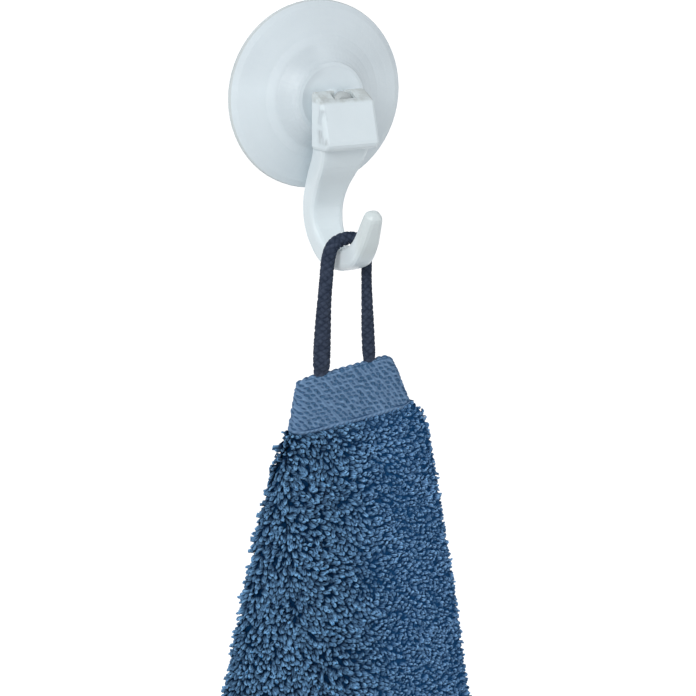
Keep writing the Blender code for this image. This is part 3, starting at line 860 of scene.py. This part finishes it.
def hem_relief(rng, across, along):
    """Height and painted shade of the woven hem: pits and ridges, and a ribbed fold along its lower edge.
    """
    pits = hem_pits(rng, across, along)
    ridges = np.sin(2 * math.pi * (across / PIT_PITCH[0] - along / PIT_PITCH[1]) + RIDGE_PHASE)
    weave = WEAVE_LEVEL + RIDGE_HEIGHT * ridges - PIT_DEPTH * pits
    pits = np.maximum(pits, RIDGE_SHADE * (0.5 - 0.5 * ridges))
    start, end = HEM_FOLD
    bulge = 1.0 - ((along - (start + end) / 2) / ((end - start) / 2)) ** 2
    fold = HEM_FOLD_HEIGHT * np.sqrt(np.clip(bulge, 0.0, 1.0))
    fold = fold * (1.0 - smooth_step(across, *RIGHT_FOLD_FADE))
    fold = fold * (1.0 - smooth_step(-across, *LEFT_FOLD_FADE))
    slant = across / FOLD_RIB_PITCH[0] + along / FOLD_RIB_PITCH[1]
    ribs = 0.5 - 0.5 * np.sin(2 * math.pi * slant + np.sin(across / FOLD_WAVES[0]))
    fold = fold * (1.0 - FOLD_RIB_DEPTH * ribs)
    before, after = FOLD_EDGE
    inside = smooth_step(along, start + before, start + after)
    least, swing = GROOVE_SHADE
    uneven = least + swing * np.sin(across / FOLD_WAVES[1])
    groove = np.exp(-((along - start + GROOVE_ABOVE) / GROOVE_REACH) ** 2) * uneven
    # Painted shade: dark in the pits and between the ridges, in the fold's ribs and in its groove.
    shade = pits * (1.0 - inside) + FOLD_RIB_SHADE * ribs * inside
    return weave * (1.0 - inside) + fold * inside, np.maximum(shade, groove)


def make_hem_weave(cloth, rng):
    """The raised weave on the front of the top hem, rolled back over its scalloped top edge."""
    across = np.arange(-WEAVE_REACH, WEAVE_REACH + WEAVE_STEP, WEAVE_STEP)
    along = np.arange(WEAVE_START, HEM_FOLD[1] + WEAVE_STEP / 2, WEAVE_STEP)
    s, t = np.meshgrid(across, along)
    place, normal, _ = cloth.locate(s, np.maximum(t, 0.0) * hem_share(s))
    relief, shade = hem_relief(rng, s, t)
    roll = np.clip((ROLL_START - t) / ROLL_REACH, 0.0, 1.0)
    height = (half_thickness(s, t) + WEAVE_ROOM + relief) * np.cos(math.pi * roll)
    vertices = place + normal * height[..., None]
    scallop = SCALLOP_LEAST + (1.0 - SCALLOP_LEAST) * np.abs(np.sin(math.pi * s / SCALLOP_PITCH))
    vertices[..., 2] += SCALLOP_HEIGHT * scallop * np.sin(math.pi * roll)
    weave = mesh_piece("hem_weave", vertices, grid_quads(*s.shape))
    store(weave.data, "weave", shade)
    return weave


def waves(rng, pitch, count=6):
    """A smooth random field of about unit size over the flat cloth."""
    turns = rng.uniform(0, 2 * math.pi, (count, 2))
    pitches = pitch * rng.uniform(0.7, 1.5, count)

    def field(across, along):
        total = 0.0
        for (angle, phase), size in zip(turns, pitches):
            far = across * math.cos(angle) + along * math.sin(angle)
            total = total + np.sin(2 * math.pi * far / size + phase)
        return total / math.sqrt(count / 2)

    return field


def seen_share(tree, places, normals, directions):
    """For each place, the share of directions round its normal that leave the towel freely."""
    shares = np.zeros(len(places))
    helper = np.where(np.abs(normals[:, 2:]) > 0.9, (1.0, 0.0, 0.0), (0.0, 0.0, 1.0))
    first = unit(np.cross(normals, helper))
    second = np.cross(normals, first)
    for a, b, c in directions:
        rays = first * a + second * b + normals * c
        for k, (place, ray) in enumerate(zip(places, rays)):
            if tree.ray_cast(place, ray, SEEN_REACH)[0] is None:
                shares[k] += 1
    return shares / len(directions)


def loop_mesh(name, roots, normals, leans, rng, sizes, worn, points, sides):
    """Many yarn loops as one mesh: each is a hairpin that leans over and twists a little."""
    count = len(roots)
    crosswise = np.cross(normals, leans)
    length, width, radius, tilt, curl, twist = sizes
    rise = np.sin(np.pi * np.linspace(0.0, 1.0, points)) ** 0.5
    rise[0] = rise[-1] = 0.0
    foot, swell = LOOP_SWELL
    swing = np.cos(np.pi * np.linspace(0.0, 1.0, points)) * (foot + swell * rise)
    bend = tilt[:, None] + 0.5 * curl[:, None] * rise
    facing = tilt[:, None] + curl[:, None] * rise
    n, u, v = normals[:, None, :], leans[:, None, :], crosswise[:, None, :]
    along = n * np.cos(bend)[..., None] + u * np.sin(bend)[..., None]
    ahead = n * np.cos(facing)[..., None] + u * np.sin(facing)[..., None]
    square = -n * np.sin(facing)[..., None] + u * np.cos(facing)[..., None]
    turn = (twist[:, None] * rise)[..., None]
    across = v * np.cos(turn) + square * np.sin(turn)
    path = (roots[:, None, :] + along * (length[:, None] * rise)[..., None]
            + across * (width[:, None] / 2 * swing)[..., None])
    flat = np.cross(ahead, across)
    tangent = unit(np.gradient(path, axis=1))
    other = unit(np.cross(tangent, flat))
    flat = unit(np.cross(other, tangent))
    angles = np.linspace(0, 2 * math.pi, sides, endpoint=False)
    ring = (flat[:, :, None, :] * np.cos(angles)[None, None, :, None]
            + other[:, :, None, :] * np.sin(angles)[None, None, :, None])
    winding = 2 * math.pi * PLY_TURNS * np.linspace(0.0, 1.0, points)
    start = rng.uniform(0, 2 * math.pi, count)
    turns = 2 * angles[None, None, :] + winding[None, :, None] + start[:, None, None]
    plies = 1.0 + PLY_DEPTH * np.cos(turns)
    vertices = path[:, :, None, :] + ring * (radius[:, None, None] * plies)[..., None]
    index = np.arange(count * points * sides).reshape(count, points, sides)
    after = np.roll(index, -1, axis=2)
    quads = np.stack((index[:, :-1], after[:, :-1], after[:, 1:], index[:, 1:]), axis=-1)
    piece = mesh_piece(name, vertices, quads)
    tone = rng.uniform(0.0, 1.0, count)
    # Painted shade: each loop darkens towards its root and on the sides that face the cloth.
    tip, lower = TIP_HEIGHT
    height = np.sum((path - roots[:, None, :]) * n, axis=-1) / (tip - lower * worn)[:, None]
    outward = np.sum(ring * n[:, :, None, :], axis=-1)
    middle, flank = FLANK_SHADE
    shade = np.clip(height, 0.0, SHADE_LIMIT)[:, :, None] * (middle + flank * outward)
    store(piece.data, "pile", shade, np.repeat(tone, points * sides), np.repeat(worn, points * sides))
    return piece


def lay_loops(cloth, rng, slants, pitch, outer, along_range):
    """Loop roots over one face of the cloth: flat and hung places, directions and slants."""
    edge = CLOTH_WIDTH / 2 - SIDE_HEM - PILE_ROOM
    s, t = np.meshgrid(np.arange(-edge, edge, pitch[0]), np.arange(*along_range, pitch[1]))
    s = s + rng.uniform(-1, 1, s.shape) * pitch[0] * PILE_JITTER
    t = t + rng.uniform(-1, 1, t.shape) * pitch[1] * PILE_JITTER
    s, t = s.ravel(), t.ravel()
    room, reach = FIRST_ROW
    first = HEM_BAND * hem_share(s) + room
    inside = (np.abs(s) < edge) & (t > first - reach) & (t < CLOTH_LENGTH - HEM_BAND - PILE_ROOM)
    t = np.maximum(t, first)
    s, t = s[inside], t[inside]
    place, normal, _ = cloth.locate(s, t)
    sideways = unit(cloth.locate(s + DIRECTION_STEP, t)[0] - place)
    downwards = unit(cloth.locate(s, t + DIRECTION_STEP)[0] - place)
    return {"s": s, "t": t, "place": place, "normal": normal if outer else -normal,
            "sideways": sideways, "downwards": downwards, "slant": slants(s, t)}


def terry_material():
    """Cotton loops with painted shade: dark at the root and flanks, light at the tip, lighter where worn,
    each a little different.
    """
    new, tree, shader = material("terry_pile")
    height, tone, wear = attribute_parts(tree, "pile")
    # Painted shade from root to tip, for full loops.
    fresh_pile_shade = ramp(tree, height, [
        (0.05, (0.000, 0.008, 0.036)), (1.0, (0.215, 0.450, 0.74)),
        (0.5, (0.000, 0.032, 0.102)), (0.76, (0.008, 0.128, 0.310))])
    # Painted shade from root to tip for worn loops: lighter, as their flat pile shades less.
    worn = ramp(tree, height, [
        (0.05, (0.010, 0.066, 0.180)), (1.0, (0.245, 0.465, 0.76)),
        (0.4, (0.030, 0.138, 0.322)), (0.7, (0.102, 0.280, 0.535))])
    tones = ramp(tree, tone, [(0.0, (0.72, 0.74, 0.78)), (1.0, (1.12, 1.10, 1.08))])
    color = mixed(tree, 1.0, mixed(tree, wear, fresh_pile_shade, worn), tones, "MULTIPLY")
    grain = noise(tree, add(tree, "TexCoord").outputs["Object"], Scale=3200.0, Detail=2.0)
    raise_surface(tree, shader, grain, strength=0.5, distance=0.2)
    set_up(tree, shader, {"Base Color": color, "Roughness": 0.9, "Specular IOR Level": 0.04,
                          "Sheen Weight": 0.06, "Sheen Tint": (0.25, 0.55, 1.0, 1.0)})
    return new


def weave_height(tree, across, along):
    """The staggered weave as a height: two slanting waves, the higher of the two."""
    row = result(tree, "MULTIPLY", across, 2 * math.pi / (PIT_PITCH[0] * MM))
    slants = []
    for turn in (2 * math.pi, -2 * math.pi):
        column = result(tree, "MULTIPLY_ADD", along, turn / (PIT_PITCH[1] * MM), row)
        slants.append(result(tree, "SINE", column))
    return result(tree, "MAXIMUM", *slants)


def sheet_material():
    """The woven ground: painted shade between close loops, painted loops with painted shade between them
    under plain ones, and woven on the hems.
    """
    new, tree, shader = material("terry_sheet")
    place = add(tree, "TexCoord").outputs["Object"]
    across, along, terry = attribute_parts(tree, "flat")
    wear, plain, _ = attribute_parts(tree, "ground")
    cloud = noise(tree, place, Scale=900.0, Detail=3.0)
    hems = ramp(tree, cloud, [(0.3, (0.042, 0.105, 0.20)), (0.7, (0.072, 0.155, 0.28))])
    # Painted shade: the ground under close loops is near black, lighter where the pile is worn.
    ground = ramp(tree, wear, [(0.0, (0.001, 0.020, 0.062)), (1.0, (0.008, 0.060, 0.165))])
    # Painted loops where the real ones are sparse: light spots with painted shade between them.
    painted_loop_cells = add(tree, "TexVoronoi", Vector=place, Scale=880.0)
    loops = ramp(tree, painted_loop_cells.outputs["Distance"], [
        (0.05, (0.085, 0.190, 0.340)), (0.75, (0.004, 0.030, 0.085)), (0.4, (0.034, 0.100, 0.205))])
    color = mixed(tree, terry, hems, mixed(tree, plain, ground, loops))
    raise_surface(tree, shader, weave_height(tree, across, along), strength=0.6, distance=0.3)
    set_up(tree, shader, {"Base Color": color, "Roughness": 0.92, "Specular IOR Level": 0.04})
    return new


def hem_material():
    """The flat woven hem: lighter ridges and painted shade in its pits and grooves."""
    new, tree, shader = material("hem_weave")
    shade = attribute_parts(tree, "weave")["X"]
    color = ramp(tree, shade, [
        (0.0, (0.190, 0.320, 0.510)), (0.66, (0.003, 0.028, 0.086)), (0.3, (0.068, 0.158, 0.300))])
    grain = noise(tree, add(tree, "TexCoord").outputs["Object"], Scale=2400.0, Detail=3.0)
    raise_surface(tree, shader, grain, strength=0.5, distance=0.2)
    set_up(tree, shader, {"Base Color": color, "Roughness": 0.88, "Specular IOR Level": 0.15})
    return new


def kept_loops(laid, wanted):
    """The laid loops for which a test is true."""
    return {name: values[wanted] for name, values in laid.items()}


def loop_sizes(rng, laid, worn, view, lengths, fine):
    """Leans of the loops, and their length, width, yarn radius, tilt, curl and twist."""
    s, t, place, normal = (laid[name] for name in ("s", "t", "place", "normal"))
    count = len(s)
    outside = 1.0 - smooth_step(place[:, 0], *FURROW_SIDE)
    left, more, beyond = LOOP_LEAN
    spread = LEAN_SPREAD[0] + LEAN_SPREAD[1] * worn
    angle = np.radians(left + more * worn + beyond * outside) + LEAN_WAVE * laid["slant"]
    angle = angle + rng.normal(0, 1, count) * spread
    leans = laid["downwards"] * np.cos(angle)[:, None] + laid["sideways"] * np.sin(angle)[:, None]
    leans = unit(leans - normal * np.sum(leans * normal, axis=1, keepdims=True))
    mean, shorter, swing = LOOP_LENGTH
    length = (mean + shorter * worn + swing * lengths(s, t)) * rng.uniform(*LENGTH_SPREAD, count)
    width = rng.uniform(*LOOP_WIDTH, count) * (1.0 - WIDTH_WORN * worn)
    yarn = YARN_RADIUS if fine else PLAIN_YARN_RADIUS
    radius = yarn * rng.uniform(*YARN_SPREAD, count) * (1 - YARN_WORN * worn)
    reach, facing, longer = EDGE_LOOPS
    edgewise = np.exp(-((t - HEM_BAND * hem_share(s)) / reach) ** 2) * (np.abs(normal @ view) < facing)
    length = length * (1.0 + longer * edgewise * rng.random(count))
    tilt = np.radians(LOOP_TILT[0] + rng.normal(0, LOOP_TILT[1], count))
    curl = np.radians(rng.uniform(*LOOP_CURL, count))
    twist = rng.uniform(-LOOP_TWIST, LOOP_TWIST, count)
    if not fine:
        length, width, radius = (size * scale for size, scale in zip((length, width, radius), PLAIN_SIZE))
    return leans, (length, width, radius, tilt, curl, twist)


def make_pile(cloth, sheet, view, rng):
    """The terry loops on both faces, left out where the pleats hide them."""
    corners = [v.co.copy() for v in sheet.data.vertices]
    tree = BVHTree.FromPolygons(corners, [tuple(p.vertices) for p in sheet.data.polygons])
    out, up = SLANTING_RAY
    round_about = [(math.cos(a) * out, math.sin(a) * out, up) for a in np.arange(8) * math.pi / 4]
    directions = [(0.0, 0.0, 1.0)] + round_about
    slants = waves(rng, LEAN_WAVE_PITCH)
    lengths = waves(rng, LENGTH_WAVE_PITCH)
    finish = terry_material()
    pieces = []
    top = HEM_BAND - RIGHT_LINE_RISE[2]
    bottom = CLOTH_LENGTH - HEM_BAND
    passes = (("picture", True, PILE_PITCH, (top, PICTURE_LENGTH)),
              ("outer", True, PLAIN_PITCH, (top, bottom)),
              ("inner", False, PLAIN_PITCH, (HEM_BAND, bottom)))
    for name, outer, pitch, along_range in passes:
        fine = name == "picture"
        laid = lay_loops(cloth, rng, slants, pitch, outer, along_range)
        count = len(laid["s"])
        in_picture = (rng.random(count) < picture_share(laid["place"], laid["normal"], view)) & outer
        thinning = THINNED_LEFT * (1.0 - smooth_step(laid["place"][:, 0], *THINNED_ACROSS))
        thinned = rng.random(count) < thinning
        laid = kept_loops(laid, in_picture & ~thinned if fine else ~in_picture)
        above = (laid["place"] + laid["normal"] * (GROUND_THICKNESS / 2 + SEEN_HEIGHT)) * MM
        share = seen_share(tree, [Vector(p) for p in above], laid["normal"], directions)
        laid = kept_loops(laid, share > SEEN_SHARE)
        worn = worn_share(laid["place"])
        leans, sizes = loop_sizes(rng, laid, worn, view, lengths, fine)
        roots = laid["place"] + laid["normal"] * (GROUND_THICKNESS / 2 - ROOT_DEPTH)
        points, sides = FINE_LOOP if fine else PLAIN_LOOP
        share_size = PIECE_TRIANGLES // ((points - 1) * sides * 2)
        for part, first in enumerate(range(0, len(roots), share_size)):
            span = slice(first, first + share_size)
            piece = loop_mesh(f"pile_{name}_{part}", roots[span], laid["normal"][span], leans[span], rng,
                              [values[span] for values in sizes], worn[span], points, sides)
            piece.data.materials.append(finish)
            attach(piece, "root")
            pieces.append(piece)
    return pieces


def make_studio():
    """A pale floor, even white surroundings and a soft light from the upper left."""
    world = bpy.data.worlds.new("studio")
    world.use_nodes = True
    background = world.node_tree.nodes["Background"]
    background.inputs["Color"].default_value = WORLD_COLOR
    background.inputs["Strength"].default_value = WORLD_STRENGTH
    bpy.context.scene.world = world
    bpy.context.scene.view_settings.view_transform = "Standard"
    turns = ((-1, -1), (1, -1), (1, 1), (-1, 1))
    corners = [(x * FLOOR_HALF / MM, y * FLOOR_HALF / MM, FLOOR_Z / MM) for x, y in turns]
    floor = mesh_piece("floor", corners, [(0, 1, 2, 3)], smooth=False)
    new, tree, shader = material("pale_floor")
    cloud = noise(tree, add(tree, "TexCoord").outputs["Object"], Scale=0.8)
    tint = ramp(tree, cloud, [(0.0, (0.93, 0.93, 0.93)), (1.0, (0.95, 0.95, 0.95))])
    set_up(tree, shader, {"Base Color": tint, "Roughness": 0.9, "Emission Color": (1.0, 1.0, 1.0, 1.0),
                          "Emission Strength": FLOOR_GLOW})
    floor.data.materials.append(new)
    floor.visible_diffuse = False
    for name, place, size, power in LAMPS:
        data = bpy.data.lights.new(name, "AREA")
        data.size = size
        data.energy = power
        lamp = link(bpy.data.objects.new(name, data))
        lamp.location = place
        lamp.rotation_euler = (Vector(place) - Vector(LAMP_AIM)).to_track_quat("Z", "Y").to_euler()


def main():
    """Build the whole scene."""
    rng = np.random.default_rng(SEED)
    view = make_camera()
    make_cord()
    make_studio()
    dress_hook()
    cloth = HungCloth()
    sheet = make_sheet(cloth, view)
    sheet.data.materials.append(sheet_material())
    weave = make_hem_weave(cloth, rng)
    weave.data.materials.append(hem_material())
    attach(weave, "root")
    pile = make_pile(cloth, sheet, view, rng)
    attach(sheet, "root")
    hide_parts("towel")


main()
